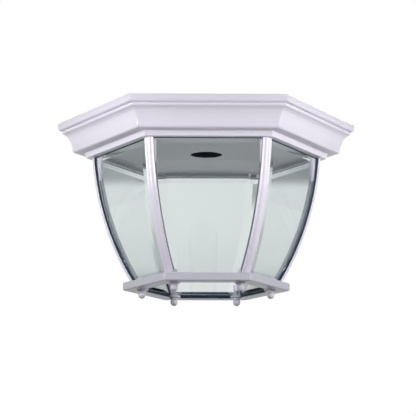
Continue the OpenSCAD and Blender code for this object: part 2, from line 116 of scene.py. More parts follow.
# Where the curves pass, as shares of their width and height
GROOVE_SHARE = 0.4
ROUND_SHARE = 0.3
COVE_SHARES = (0.56, 0.34)
BEAD_SHARES = (0.16, 0.36)
BEAD_END_SHARES = (0.5, 0.56)
CAP_BEAD_SHARES = (0.62, 0.36)

# Thin trims, which have no solid of their own: dark strips of painted shade on the curb, under the
# lip, on the webs and round the ring
TRIM_SOFT = 0.1 * MM
STRIP_T = 0.3 * MM
STRIP_OFF_LIP = 0.4 * MM
STRIP_OFF_PAN = 0.1 * MM
LIP_SHADE_H = 0.6 * MM
LIP_SHADE_IN = 1.1 * MM
LIP_SHADE_OUT = 0.2 * MM
WEB_SHADE_T = 0.3 * MM
WEB_SHADE_GAP = 0.02 * MM
WEB_SHADE_PAST_WEB = 0.9 * MM
RING_SHADE_SUNK = 0.1 * MM
RING_SHADE_RAISED = 0.3 * MM

# Glass
GLASS_T = 3.2 * MM
BEVEL_W = 8.5 * MM
BEVEL_ANGLE = math.radians(8)
SIDE_BEVEL_ANGLE = math.radians(5)
BEVEL_LOW_W = 4.6 * MM
BEVEL_TOP_W = 7 * MM
LIP_REVEAL = 6.2 * MM
RING_REVEAL = 8 * MM
PANE_BOW = 6.8 * MM
TUCK = 1.9 * MM
SIDE_GAP = 1.35 * MM
SEAT_GAP = 0.3 * MM

# Ribs
RIB_W = 9.5 * MM
RIB_BEAD_W = 5.4 * MM
RIB_BEAD_H = 1 * MM
CAP_T = 1.1 * MM
CAP_SLOPE = 0.33
SEAL_DEPTH = 3.1 * MM
SEAL_IN = 0.8 * MM
SEAL_OFF_WEB = 0.35 * MM
WEB_T = 2.5 * MM
WEB_D = 9.2 * MM
BOSS_R = 3.2 * MM
BOSS_IN = 2 * MM
BOSS_SOFT = 0.6 * MM
BOSS_OFF_RING = 0.5 * MM
TOP_BOSS_L = 22 * MM
TOP_BORE_L = 0.6 * TOP_BOSS_L
LOW_BOSS_L = 6 * MM
BORE_R = 2.05 * MM

# Bottom ring and ball nuts
RING_WALL = 3 * MM
FLANGE_T = 2.4 * MM
FLANGE_W = 14.8 * MM
PAD_R = 6.2 * MM
STUD_HOLE_R = 2.3 * MM
BALL_R = 3.6 * MM
NECK_R = 0.8 * BALL_R
COLLAR_H = 1.7 * MM
NUT_FLOOR = 1.3 * MM

# Levels and half widths that several pieces share
A_LIP = A_RIM - FASCIA_ROUND - BEAD_IN - COVE_IN - TOE_ROUND - SOFFIT_W - BAND_TAPER
A_GLASS_TOP = A_LIP - LIP_REVEAL
A_GLASS_LOW = A_RING - RING_REVEAL
A_GLASS_MID = (A_GLASS_TOP + A_GLASS_LOW) / 2 + PANE_BOW
A_GROOVE = A_GLASS_TOP - GLASS_T - SEAT_GAP
A_OPENING = A_GROOVE - LIP_CURB
R_TOP_BOSS = A_OPENING * STRETCH - BOSS_IN
Z_MID = (Z_LIP + Z_RING) / 2
Z_FLANGE = Z_RING_LOW + FLANGE_T
Z_LOW_BOSS = Z_RING - BOSS_OFF_RING


# Outlines

def circle_of(p, q, r):
    """Centre and radius of the circle through three points."""
    p, q, r = Vector(p), Vector(q), Vector(r)
    pp, qq, rr = p.length_squared, q.length_squared, r.length_squared
    d = 2 * (p.x * (q.y - r.y) + q.x * (r.y - p.y) + r.x * (p.y - q.y))
    x = (pp * (q.y - r.y) + qq * (r.y - p.y) + rr * (p.y - q.y)) / d
    y = (pp * (r.x - q.x) + qq * (p.x - r.x) + rr * (q.x - p.x)) / d
    return Vector((x, y)), (p - Vector((x, y))).length


def sweep(centre, radius, start, end, steps):
    """Points on a circle, the short way round from start to end."""
    first = math.atan2(start[1] - centre[1], start[0] - centre[0])
    last = math.atan2(end[1] - centre[1], end[0] - centre[0])
    turn = (last - first + math.pi) % (2 * math.pi) - math.pi
    angles = [first + turn * i / steps for i in range(steps + 1)]
    return [(centre[0] + radius * math.cos(a), centre[1] + radius * math.sin(a)) for a in angles]


def arc(start, through, end, steps):
    """Points on the circle that runs from start through a middle point to end."""
    centre, radius = circle_of(start, through, end)
    return sweep(centre, radius, start, end, steps)


def rounded(corners, steps=4):
    """An outline from corners (x, y, radius): those with a radius become short arcs."""
    outline = []
    for i, (x, y, radius) in enumerate(corners):
        here = Vector((x, y))
        if not radius:
            outline.append((x, y))
            continue
        before = (Vector(corners[i - 1][:2]) - here).normalized()
        after = (Vector(corners[(i + 1) % len(corners)][:2]) - here).normalized()
        half = before.angle(after) / 2
        reach = radius / math.tan(half)
        centre = here + (before + after).normalized() * radius / math.sin(half)
        outline += sweep(centre, radius, here + before * reach, here + after * reach, steps)
    return outline


# Modelling

def only(*objects):
    """Selects these objects and nothing else."""
    bpy.ops.object.select_all(action="DESELECT")
    for obj in objects:
        obj.select_set(True)
    bpy.context.view_layer.objects.active = objects[0]


def edit(obj):
    """Opens an object in edit mode with everything selected."""
    only(obj)
    bpy.ops.object.mode_set(mode="EDIT")
    bpy.ops.mesh.select_mode(type="VERT")
    bpy.ops.mesh.select_all(action="SELECT")


def done():
    """Leaves edit mode."""
    bpy.ops.object.mode_set(mode="OBJECT")


def pick(obj, kind, test):
    """In edit mode, selects the vertices or edges whose points pass the test."""
    bpy.ops.mesh.select_mode(type=kind)
    bpy.ops.mesh.select_all(action="DESELECT")
    shape = bmesh.from_edit_mesh(obj.data)
    for item in {"VERT": shape.verts, "EDGE": shape.edges}[kind]:
        points = [item.co] if kind == "VERT" else [v.co for v in item.verts]
        if test(points):
            item.select_set(True)
    bmesh.update_edit_mesh(obj.data)


def traced(name, points):
    """A line drawn from point to point with the extrude operator, left in edit mode."""
    bpy.ops.object.select_all(action="DESELECT")
    bpy.ops.mesh.primitive_plane_add(size=MM)
    obj = bpy.context.object
    obj.name = name
    edit(obj)
    bpy.ops.mesh.merge(type="CENTER")
    here = Vector(points[0])
    bpy.ops.transform.translate(value=here)
    for point in points[1:]:
        step = Vector(point) - here
        bpy.ops.mesh.extrude_region_move(TRANSFORM_OT_translate={"value": step})
        here = Vector(point)
    bpy.ops.mesh.select_all(action="SELECT")
    return obj


def weld(obj):
    """Merges doubles and turns every face outwards, in edit mode."""
    bpy.ops.mesh.select_mode(type="VERT")
    bpy.ops.mesh.select_all(action="SELECT")
    bpy.ops.mesh.remove_doubles(threshold=WELD_GAP)
    bpy.ops.mesh.normals_make_consistent(inside=False)


def mitred(name, outline, soft):
    """A hexagonal moulding: its section is spun in six steps and its mitres are rounded."""
    path = [(a * STRETCH, 0, z) for a, z in outline]
    obj = traced(name, path + path[:1])
    bpy.ops.mesh.remove_doubles(threshold=WELD_GAP)
    bpy.ops.mesh.spin(steps=SIDES, angle=2 * math.pi, center=CENTRE, axis=UP)
    weld(obj)
    pick(obj, "EDGE", in_corner_plane)
    bpy.ops.mesh.bevel(
        offset=soft, segments=MITRE_SEGMENTS, affect="EDGES", clamp_overlap=False)
    done()
    return obj


def in_corner_plane(points):
    """Whether both ends of an edge lie at one angle round the light's axis."""
    first, last = (math.atan2(p.y, p.x) for p in points)
    return abs((first - last + math.pi) % (2 * math.pi) - math.pi) < ANGLE_GAP


def post(radius, low, high, place, soft=0):
    """A round bar along Z at a place (x, y), with its ends softened if soft is given."""
    bpy.ops.object.select_all(action="DESELECT")
    bpy.ops.mesh.primitive_cylinder_add(
        vertices=ROUND_SIDES, radius=radius, depth=high - low, location=(*place, (low + high) / 2))
    obj = bpy.context.object
    bpy.ops.object.transform_apply(location=True, rotation=True, scale=True)
    if soft:
        edit(obj)
        pick(obj, "EDGE", lambda points: points[0].z == points[1].z)
        bpy.ops.mesh.bevel(offset=soft, segments=POST_SEGMENTS, affect="EDGES")
        done()
    return obj


def at_corners(obj):
    """The same shape at all six corners, joined in one mesh."""
    parts = [obj] + [turned(obj, obj.name, i * TURN) for i in range(1, SIDES)]
    only(*parts)
    bpy.ops.object.join()
    return bpy.context.object


def turned(obj, name, angle):
    """A copy with its own mesh, turned about the light's axis."""
    twin = obj.copy()
    twin.name = name
    twin.data = obj.data.copy()
    twin.data.name = name
    twin.data.transform(Matrix.Rotation(angle, 4, "Z"))
    bpy.context.scene.collection.objects.link(twin)
    return twin


def combine(obj, tool, operation):
    """Adds or cuts the tool's shape, and removes the tool."""
    only(obj)
    bpy.ops.object.modifier_add(type="BOOLEAN")
    change = obj.modifiers[-1]
    change.operation = operation
    change.object = tool
    change.solver = "EXACT"
    bpy.ops.object.modifier_apply(modifier=change.name)
    bpy.data.objects.remove(tool)


def smooth(obj):
    """Shades an object smooth, apart from its sharp edges."""
    only(obj)
    bpy.ops.object.shade_smooth_by_angle(angle=CREASE_ANGLE)
    bpy.ops.object.modifier_add(type="WEIGHTED_NORMAL")
    change = obj.modifiers[-1]
    change.keep_sharp = True
    bpy.ops.object.modifier_apply(modifier=change.name)


def dress(obj, material, body, slot, *nodes):
    """Gives a new piece its material, its body and the nodes that it stands for; the slot is not
    used.
    """
    obj.data.materials.clear()
    obj.data.materials.append(material)
    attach(obj, body)
    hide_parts(*nodes)


# Canopy

def canopy_section():
    """Half width and height round the casting's section, down the outside and up the inside."""
    z_fascia = -FASCIA_H
    z_groove = z_fascia - GROOVE_H
    z_bead = z_groove - BEAD_H
    z_cove = z_bead - COVE_H
    z_soffit = z_cove - TOE_ROUND
    z_lip_top = Z_LIP + LIP_T
    a_fascia = A_RIM - FASCIA_ROUND
    a_bead = a_fascia - BEAD_IN
    a_cove = a_bead - COVE_IN
    a_toe = a_cove - TOE_ROUND
    a_band = a_toe - SOFFIT_W
    a_seat = A_OPENING + PAN_LEDGE
    glass_slot = Z_LIP + TUCK + SEAT_GAP
    rim = rounded([(A_RIM - RIM_W, 0, 0), (A_RIM, 0, 0.5 * MM), (A_RIM, z_fascia, 0)], 3)[1:-1]
    fascia = arc(
        (A_RIM, z_fascia + FASCIA_ROUND),
        (A_RIM - ROUND_SHARE * FASCIA_ROUND, z_fascia + ROUND_SHARE * FASCIA_ROUND),
        (a_fascia, z_fascia), BEAD_STEPS + 1)
    groove = [(a_fascia - GROOVE_D, z_fascia - GROOVE_SHARE * GROOVE_H)]
    bead = arc(
        (a_fascia - BEAD_SET_IN, z_groove),
        (a_fascia - BEAD_SHARES[0] * BEAD_IN, z_groove - BEAD_SHARES[1] * BEAD_H),
        (a_fascia - BEAD_END_SHARES[0] * BEAD_IN, z_groove - BEAD_END_SHARES[1] * BEAD_H),
        BEAD_STEPS)
    cove = arc(
        (a_bead, z_bead), (a_bead - COVE_SHARES[0] * COVE_IN, z_bead - COVE_SHARES[1] * COVE_H),
        (a_cove, z_cove), COVE_STEPS)
    toe = arc(
        (a_cove, z_cove - TOE_DROP),
        (a_cove - ROUND_SHARE * TOE_ROUND, z_soffit + ROUND_SHARE * TOE_ROUND),
        (a_toe, z_soffit), BEAD_STEPS)
    lip = rounded([
        (a_toe, z_soffit, 0), (a_band, z_soffit, 0.6 * MM), (A_LIP, Z_LIP, 0.7 * MM),
        (A_GROOVE + LIP_GROOVE_W, Z_LIP, 0), (A_GROOVE + LIP_GROOVE_W, glass_slot, 0),
        (A_GROOVE, glass_slot, 0), (A_GROOVE, Z_LIP, 0), (A_OPENING, Z_LIP, 0.4 * MM),
        (A_OPENING, Z_PAN, 0)], 4)[1:]
    a_gasket = A_RIM - RIM_W
    inside = (
        [(a_seat, Z_PAN), (a_seat, z_lip_top), (a_band - WALL, z_lip_top),
         (a_band - WALL, z_soffit + WALL), (a_cove - WALL, z_soffit + WALL)]
        + [(a - WALL, z) for a, z in reversed(cove)]
        + [(a_fascia - GROOVE_D - WALL, z_groove), (a_gasket - GASKET_W, z_fascia + FASCIA_ROUND),
           (a_gasket - GASKET_W, -GASKET_T), (a_gasket, -GASKET_T), (a_gasket, 0)])
    return rim + fascia + groove + bead + cove + toe + lip + inside


def canopy_casting():
    """The canopy, with pads on the lip that the ribs are screwed up against."""
    obj = mitred("canopy_casting", canopy_section(), MITRE_ROUND)
    place = (R_TOP_BOSS, 0)
    combine(obj, at_corners(post(PAD_R, Z_LIP, Z_PAN, place, soft=PAD_SOFT)), "UNION")
    combine(obj, at_corners(post(BORE_R, Z_LIP - MM, Z_PAN + MM, place)), "DIFFERENCE")
    smooth(obj)
    return obj


def trim(name, inner, outer, low, high):
    """A thin strip round the six sides, with a plain section."""
    return mitred(name, [(inner, low), (outer, low), (outer, high), (inner, high)], TRIM_SOFT)


def curb_shade_strip():
    """A thin dark strip on the inner face of the lip's curb, under the pan's edge: painted shade.
    """
    low, high = Z_LIP + STRIP_OFF_LIP, Z_PAN - STRIP_OFF_PAN
    return trim("curb_shade_strip", A_OPENING - STRIP_T, A_OPENING, low, high)


def lip_shade_strip():
    """A dark strip over the panes' upper edges, close under the lip: painted shade."""
    inner, outer = A_GLASS_TOP - LIP_SHADE_IN, A_GLASS_TOP - LIP_SHADE_OUT
    return trim("lip_shade_strip", inner, outer, Z_LIP - LIP_SHADE_H, Z_LIP)


# Bottom ring

def ring_casting():
    """The ring's upright wall and flat flange, with pads in its corners for the studs."""
    a_wall = A_RING - RING_WALL
    a_flange = A_RING - FLANGE_W
    section = rounded([
        (a_wall, Z_RING, 0.5 * MM), (A_RING, Z_RING, 0.7 * MM), (A_RING, Z_RING_LOW, 1.1 * MM),
        (a_flange, Z_RING_LOW, 0.5 * MM), (a_flange, Z_FLANGE, 0.4 * MM),
        (a_wall, Z_FLANGE, 0.8 * MM)])
    obj = mitred("ring_casting", section, MITRE_ROUND)
    place = (R_STUD, 0)
    combine(obj, at_corners(post(PAD_R, Z_RING_LOW, Z_FLANGE, place, soft=PAD_SOFT)), "UNION")
    combine(obj, at_corners(post(STUD_HOLE_R, Z_RING_LOW - MM, Z_FLANGE + MM, place)), "DIFFERENCE")
    smooth(obj)
    return obj


def ring_shade_strip():
    """A dark strip round the inner edge of the ring's flange, which stops at the pads: painted
    shade.
    """
    outer = A_RING - FLANGE_W + RING_SHADE_SUNK
    low, high = Z_RING_LOW + RING_SHADE_RAISED, Z_FLANGE
    obj = trim("ring_shade_strip", outer - STRIP_T, outer, low, high)
    combine(obj, at_corners(post(PAD_R, low - MM, high + MM, (R_STUD, 0))), "DIFFERENCE")
    return obj


# Panes

def bowed(stretch):
    """The circle that the glass follows at its outer face, or the ribs along a corner."""
    return circle_of(
        (A_GLASS_TOP * stretch, Z_LIP), (A_GLASS_MID * stretch, Z_MID),
        (A_GLASS_LOW * stretch, Z_RING))


def spun_about(centre, angle, steps):
    """Bends what is selected on upwards, about a level axis at the given place."""
    place = (centre.x, 0, centre.y)
    bpy.ops.mesh.spin(steps=steps, angle=angle, center=place, axis=(0, 1, 0))


def bent_sheet(edge_t):
    """The inner face of a pane before its sides are cut, left in edit mode."""
    centre, radius = bowed(1)
    inner = radius - GLASS_T
    lean = (Z_FOOT - centre.y) / radius
    low = math.asin((Z_FOOT - edge_t * lean - centre.y) / inner)
    high = math.asin((Z_LIP + TUCK - centre.y) / inner)
    x, z = centre.x + inner * math.cos(low), centre.y + inner * math.sin(low)
    obj = traced("pane_glass", [(x, -A_RIM, z), (x, A_RIM, z)])
    low_bevel = BEVEL_LOW_W / inner
    top_bevel = BEVEL_TOP_W / inner
    spun_about(centre, low_bevel, 1)
    spun_about(centre, high - low - low_bevel - top_bevel, PANE_STEPS)
    spun_about(centre, top_bevel, 1)
    return obj


def cut_sides():
    """Cuts the sheet along both ribs, and draws the lines where its side bevels start."""
    apex = Vector(((WEB_T / 2 + SIDE_GAP) / math.sin(HALF), 0, 0))
    for side in (-1, 1):
        across = Vector((-math.sin(HALF), side * math.cos(HALF), 0))
        start = apex - across * BEVEL_W * math.cos(HALF)
        for place, clear in ((apex, True), (start, False)):
            bpy.ops.mesh.select_all(action="SELECT")
            bpy.ops.mesh.bisect(
                plane_co=place, plane_no=across, clear_outer=clear, threshold=CUT_GAP)


def pane_glass():
    """A bent trapezoid of plate glass, its four edges ground to a bevel on the outside."""
    edge_t = GLASS_T - BEVEL_W * math.tan(BEVEL_ANGLE)
    side_t = GLASS_T - BEVEL_W * math.tan(SIDE_BEVEL_ANGLE)
    obj = bent_sheet(edge_t)
    cut_sides()
    weld(obj)
    connect_bevel_corners(obj)
    outward(obj)
    thin_edges(obj, side_t / GLASS_T, edge_t / GLASS_T)
    done()
    only(obj)
    bpy.ops.object.modifier_add(type="SOLIDIFY")
    wall = obj.modifiers[-1]
    wall.thickness = GLASS_T
    wall.offset = 1
    wall.vertex_group = obj.vertex_groups[0].name
    bpy.ops.object.modifier_apply(modifier=wall.name)
    obj.vertex_groups.clear()
    bpy.ops.object.shade_smooth_by_angle(angle=BEVEL_ANGLE / 2)
    return obj


def connect_bevel_corners(obj):
    """Draws the line from each corner of the sheet to the corner of its flat middle."""
    shape = bmesh.from_edit_mesh(obj.data)
    corners = [v.index for v in shape.verts if len(v.link_edges) == 2]
    for index in corners:
        shape = bmesh.from_edit_mesh(obj.data)
        shape.verts.ensure_lookup_table()
        corner = shape.verts[index]
        face = corner.link_faces[0]
        far = max(face.verts, key=lambda v: (v.co - corner.co).length)
        ends = [corner.co.copy(), far.co.copy()]
        pick(obj, "VERT", lambda points: any((points[0] - end).length < CUT_GAP for end in ends))
        bpy.ops.mesh.vert_connect_path()


def outward(obj):
    """Turns an open sheet so that its faces look away from the axis."""
    bpy.ops.mesh.select_all(action="SELECT")
    shape = bmesh.from_edit_mesh(obj.data)
    if sum(face.normal.x for face in shape.faces) < 0:
        bpy.ops.mesh.flip_normals()


def thin_edges(obj, side_share, end_share):
    """Thins the sheet's rim when it is thickened: less at the sides than at foot and top."""
    bpy.ops.object.vertex_group_add()
    weigh(1)
    bpy.ops.mesh.select_mode(type="VERT")
    bpy.ops.mesh.select_all(action="DESELECT")
    bpy.ops.mesh.select_non_manifold()
    weigh(side_share)
    heights = [v.co.z for v in bmesh.from_edit_mesh(obj.data).verts]
    foot, top = min(heights) + LEVEL_GAP, max(heights) - LEVEL_GAP
    pick(obj, "VERT", lambda points: not foot < points[0].z < top)
    weigh(end_share)


def weigh(share):
    """Gives the selected vertices this share of the wall's thickness."""
    bpy.context.scene.tool_settings.vertex_group_weight = share
    bpy.ops.object.vertex_group_assign()


# Ribs

def rib_section():
    """Distance out from the corner's curve and to one side, round a rib's T section."""
    cap_edge = RIB_W / 2
    under = -CAP_T + CAP_SLOPE * (cap_edge - WEB_T / 2)
    bead = arc(
        (RIB_BEAD_H, 0), (CAP_BEAD_SHARES[0] * RIB_BEAD_H, CAP_BEAD_SHARES[1] * RIB_BEAD_W),
        (0, RIB_BEAD_W / 2), BEAD_STEPS)
    half = bead + rounded([
        bead[-1] + (0,), (0, cap_edge, 0.5 * MM), (-CAP_T, cap_edge, 0.3 * MM),
        (under, WEB_T / 2, 0.3 * MM), (-WEB_D, WEB_T / 2, 0.7 * MM), (-WEB_D, 0, 0)])[1:]
    return half + [(out, -side) for out, side in reversed(half[1:-1])]


def bent_bar(name, section, foot=Z_FOOT):
    """A bar bent along the corner's curve, and cut level at the lip and the foot."""
    centre, radius = bowed(STRETCH)
    low = math.asin((Z_FOOT - centre.y) / (radius - WEB_D)) - BEND_SPARE
    high = math.asin((Z_LIP - centre.y) / (radius + RIB_BEAD_H)) + BEND_SPARE
    across = Vector((math.cos(low), 0, math.sin(low)))
    hub = Vector((centre.x, 0, centre.y))
    path = [hub + across * (radius + out) + Vector((0, side, 0)) for out, side in section]
    obj = traced(name, path + path[:1])
    spun_about(centre, high - low, RIB_STEPS)
    weld(obj)
    for level, away in ((Z_LIP, UP), (foot, DOWN)):
        bpy.ops.mesh.select_all(action="SELECT")
        bpy.ops.mesh.bisect(
            plane_co=UP * level, plane_no=away, clear_outer=True, use_fill=True,
            threshold=CUT_GAP)
    weld(obj)
    done()
    return obj


def rib_linings(name, near, far, top, low, foot):
    """Bars along both sides of every rib's web, near to far across and top to low in depth."""
    bars = []
    for side in (-1, 1):
        section = [
            (CAP_SLOPE * (RIB_W / 2 - at) - depth, side * at)
            for at, depth in ((near, top), (far, top), (far, low), (near, low))]
        bars.append(at_corners(bent_bar(name, section, foot)))
    only(*bars)
    bpy.ops.object.join()
    obj = bpy.context.object
    obj.name = name
    smooth(obj)
    return obj


def seal_strips():
    """Soft strips between the ribs' caps and the panes, set back from the caps' edges."""
    near, far = WEB_T / 2 + SEAL_OFF_WEB, RIB_W / 2 - SEAL_IN
    return rib_linings("seal_strips", near, far, CAP_T, SEAL_DEPTH, Z_FOOT)


def web_shade_strips():
    """Thin grey strips on the ribs' webs, which the panes' edges face: painted shade."""
    near = WEB_T / 2 + WEB_SHADE_GAP
    return rib_linings(
        "web_shade_strips", near, near + WEB_SHADE_T, SEAL_DEPTH, WEB_D + WEB_SHADE_PAST_WEB, Z_LOW_BOSS)


def rib_casting():
    """A T section bent along the corner's curve, with two screw bosses and a stepped foot."""
    obj = bent_bar("rib_casting", rib_section())
    top, low = (R_TOP_BOSS, 0), (R_STUD, 0)
    z_low_top = Z_LOW_BOSS + LOW_BOSS_L
    combine(obj, post(BOSS_R, Z_LIP - TOP_BOSS_L, Z_LIP, top, soft=BOSS_SOFT), "UNION")
    combine(obj, post(BOSS_R, Z_LOW_BOSS, z_low_top, low, soft=BOSS_SOFT), "UNION")
    combine(obj, foot_step(), "DIFFERENCE")
    combine(obj, post(BORE_R, Z_LIP - TOP_BORE_L, Z_LIP + MM, top), "DIFFERENCE")
    combine(obj, post(BORE_R, Z_LOW_BOSS - MM, z_low_top - MM, low), "DIFFERENCE")
    smooth(obj)
    return obj


def foot_step():
    """The space under the lower boss, which the rib's foot passes outside."""
    reach = R_STUD + BORE_R
    height = Z_LOW_BOSS - Z_RING_LOW
    bpy.ops.object.select_all(action="DESELECT")
    bpy.ops.mesh.primitive_cube_add(
        size=1, location=(reach / 2, 0, Z_RING_LOW + height / 2), scale=(reach, 2 * RIB_W, height))
    bpy.ops.object.transform_apply(location=True, rotation=True, scale=True)
    return bpy.context.object


# Ball nuts

def ball_nut():
    """A ball on a collar with a blind thread, turned in one piece."""
    centre = BALL_R - NUT_H
    join = centre + math.sqrt(BALL_R ** 2 - NECK_R ** 2)
    bore_end = NUT_FLOOR - NUT_H
    ball = arc((0, -NUT_H), (BALL_R, centre), (NECK_R, join), BALL_STEPS)
    collar = rounded([
        (NECK_R, join, 0), (NECK_R, -COLLAR_H, 0.3 * MM), (COLLAR_R, -COLLAR_H, 0.5 * MM),
        (COLLAR_R, 0, 0.35 * MM), (BORE_R, 0, 0.3 * MM), (BORE_R, bore_end, 0),
        (0, bore_end - 0.3 * MM, 0)])
    section = [(r + R_STUD, z + Z_NUT) for r, z in ball + collar[1:]]
    obj = traced("ball_nut", [(x, 0, z) for x, z in section])
    bpy.ops.mesh.spin(steps=NUT_STEPS, angle=2 * math.pi, center=(R_STUD, 0, 0), axis=UP)
    weld(obj)
    done()
    smooth(obj)
    return obj


# Shader maths

class Value:
    """A shader socket that Python arithmetic extends with Math nodes."""

    def __init__(self, finish, socket):
        self.finish = finish
        self.socket = socket

    def maths(self, operation, first, second):
        return self.finish.node("ShaderNodeMath", {"operation": operation}, {0: first, 1: second})

    def __add__(self, other):
        return self.maths("ADD", self, other)

    def __radd__(self, other):
        return self.maths("ADD", other, self)

    def __sub__(self, other):
        return self.maths("SUBTRACT", self, other)

    def __rsub__(self, other):
        return self.maths("SUBTRACT", other, self)

    def __mul__(self, other):
        return self.maths("MULTIPLY", self, other)

    def __rmul__(self, other):
        return self.maths("MULTIPLY", other, self)

    def between(self, low, high):
        """0 below low and 1 above high, eased in between."""
        return self.finish.node(
            "ShaderNodeMapRange", {"interpolation_type": "SMOOTHSTEP"},
            {"Value": self, "From Min": low, "From Max": high})


class Finish:
    """The node tree of one material, or of the world."""

    def __init__(self, owner):
        owner.use_nodes = True
        self.owner = owner
        self.tree = owner.node_tree
        self.tree.nodes.clear()

    def node(self, kind, settings=None, sockets=None, output=0):
        """Adds a node, makes its settings, sets or links its sockets, and returns one output."""
        node = self.tree.nodes.new(kind)
        for name, value in (settings or {}).items():
            setattr(node, name, value)
        for name, value in (sockets or {}).items():
            if isinstance(value, Value):
                self.tree.links.new(value.socket, node.inputs[name])
            else:
                node.inputs[name].default_value = value
        return Value(self, node.outputs[output])

    def place(self):
        return self.node("ShaderNodeTexCoord", output="Object")

    def noise(self, size, detail=2.0):
        """Noise between 0 and 1 whose lumps are about the given size."""
        return self.node("ShaderNodeTexNoise", None, {
            "Vector": self.place(), "Scale": 1 / size, "Detail": detail, "Roughness": 0.55})

    def blend(self, share, first, second):
        """A colour between two others."""
        sockets = {"Factor": share, "A": first, "B": second}
        return self.node("ShaderNodeMix", {"data_type": "RGBA"}, sockets, "Result")

    def bump(self, height, depth, strength):
        sockets = {"Height": height, "Distance": depth, "Strength": strength}
        return self.node("ShaderNodeBump", None, sockets)

    def output(self, surface, volume=None):
        """Ends the tree, and gives back the material or the world that it belongs to."""
        of_world = isinstance(self.owner, bpy.types.World)
        kind = "ShaderNodeOutputWorld" if of_world else "ShaderNodeOutputMaterial"
        links = {"Surface": surface}
        if volume:
            links["Volume"] = volume
        node = self.tree.nodes.new(kind)
        for name, value in links.items():
            self.tree.links.new(value.socket, node.inputs[name])
        return self.owner

    def principled(self, sockets):
        return self.node("ShaderNodeBsdfPrincipled", None, sockets)


def rgb(red, green, blue):
    return (red, green, blue, 1)


def new_finish(name):
    """An empty node tree in a new material."""
    return Finish(bpy.data.materials.new(name))


# Finishes

def powder_coat(name, dull, bright, gloss):
    """White powder coat with a lilac tint and a fine orange-peel surface."""
    f = new_finish(name)
    tone = f.noise(45 * MM)
    peel = f.noise(1.1 * MM, 1.5)
    return f.output(f.principled({
        "Base Color": f.blend(tone, dull, bright),
        "Roughness": 0.34 + peel * 0.10,
        "Coat Weight": gloss,
        "Coat Roughness": 0.09,
        "Normal": f.bump(peel, 0.03 * MM, 0.6)}))


def enamelled_sheet():
    """White baked enamel on the pan, greyer than the castings and without their lilac tint."""
    f = new_finish("white_enamelled_sheet")
    tone = f.noise(60 * MM)
    ripple = f.noise(9 * MM, 1)
    return f.output(f.principled({
        "Base Color": f.blend(tone, rgb(0.69, 0.70, 0.73), rgb(0.75, 0.755, 0.775)),
        "Roughness": 0.36 + tone * 0.1,
        "Normal": f.bump(ripple, 0.04 * MM, 0.5)}))


def plate_glass():
    """Clear plate glass, faintly blue-green through its thickness and barely wavy."""
    f = new_finish("clear_plate_glass")
    wave = f.noise(38 * MM, 1)
    haze = f.noise(14 * MM, 3)
    surface = f.principled({
        "Base Color": rgb(1, 1, 1),
        "Roughness": haze * 0.012,
        "IOR": 1.5,
        "Transmission Weight": 1,
        "Normal": f.bump(wave, 0.01 * MM, 1)})
    return f.output(surface, f.node("ShaderNodeVolumeAbsorption", None, {
        "Color": rgb(0.0, 0.32, 0.31), "Density": 37.0}))


def seal_rubber():
    """Near-black rubber with a blue cast and a fine grain."""
    f = new_finish("dark_seal_rubber")
    grain = f.noise(0.8 * MM, 3)
    return f.output(f.principled({
        "Base Color": f.blend(grain, rgb(0.012, 0.034, 0.062), rgb(0.022, 0.052, 0.088)),
        "Roughness": 0.7 + grain * 0.2,
        "Specular IOR Level": 0.2,
        "Normal": f.bump(grain, 0.02 * MM, 0.5)}))


def foam(name, dark, light):
    """Foam whose cells show as fine pits."""
    f = new_finish(name)
    cells = f.node("ShaderNodeTexVoronoi", None, {"Vector": f.place(), "Scale": 1 / (0.7 * MM)})
    return f.output(f.principled({
        "Base Color": f.blend(cells, dark, light),
        "Roughness": 0.92,
        "Normal": f.bump(cells, 0.15 * MM, 0.8)}))


def zinc_plate():
    """Zinc-plated steel with the faint spangle and rolled grain of sheet."""
    f = new_finish("zinc_plated_steel")
    grain = f.noise(0.5 * MM, 4)
    spangle = f.noise(7 * MM, 2)
    return f.output(f.principled({
        "Base Color": f.blend(spangle, rgb(0.50, 0.51, 0.53), rgb(0.66, 0.66, 0.66)),
        "Metallic": 1,
        "Roughness": 0.28 + grain * 0.14 + spangle * 0.08,
        "Normal": f.bump(grain, 0.01 * MM, 0.4)}))


def black_moulding():
    """Matt black phenolic."""
    f = new_finish("black_phenolic_moulding")
    grain = f.noise(0.9 * MM, 3)
    return f.output(f.principled({
        "Base Color": f.blend(grain, rgb(0.006, 0.006, 0.007), rgb(0.014, 0.014, 0.015)),
        "Roughness": 0.7 + grain * 0.2,
        "Specular IOR Level": 0.12,
        "Normal": f.bump(grain, 0.02 * MM, 0.3)}))


def brass():
    """Drawn brass, unevenly tarnished."""
    f = new_finish("drawn_brass")
    tarnish = f.noise(6 * MM, 4)
    return f.output(f.principled({
        "Base Color": f.blend(tarnish, rgb(0.62, 0.42, 0.16), rgb(0.78, 0.60, 0.28)),
        "Metallic": 1,
        "Roughness": 0.24 + tarnish * 0.2}))


def green_dip():
    """The green dip of an earth screw, with its metal showing through."""
    f = new_finish("green_earth_screw")
    tone = f.noise(2 * MM, 3)
    return f.output(f.principled({
        "Base Color": f.blend(tone, rgb(0.012, 0.13, 0.045), rgb(0.025, 0.2, 0.075)),
        "Metallic": 0.55,
        "Roughness": 0.34 + tone * 0.12}))


def paint_node(material, *nodes):
    """A better material on CAD nodes whose shape stays."""
    for name in nodes:
        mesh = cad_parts[name].data
        mesh.materials.clear()
        mesh.materials.append(material)


# Pieces

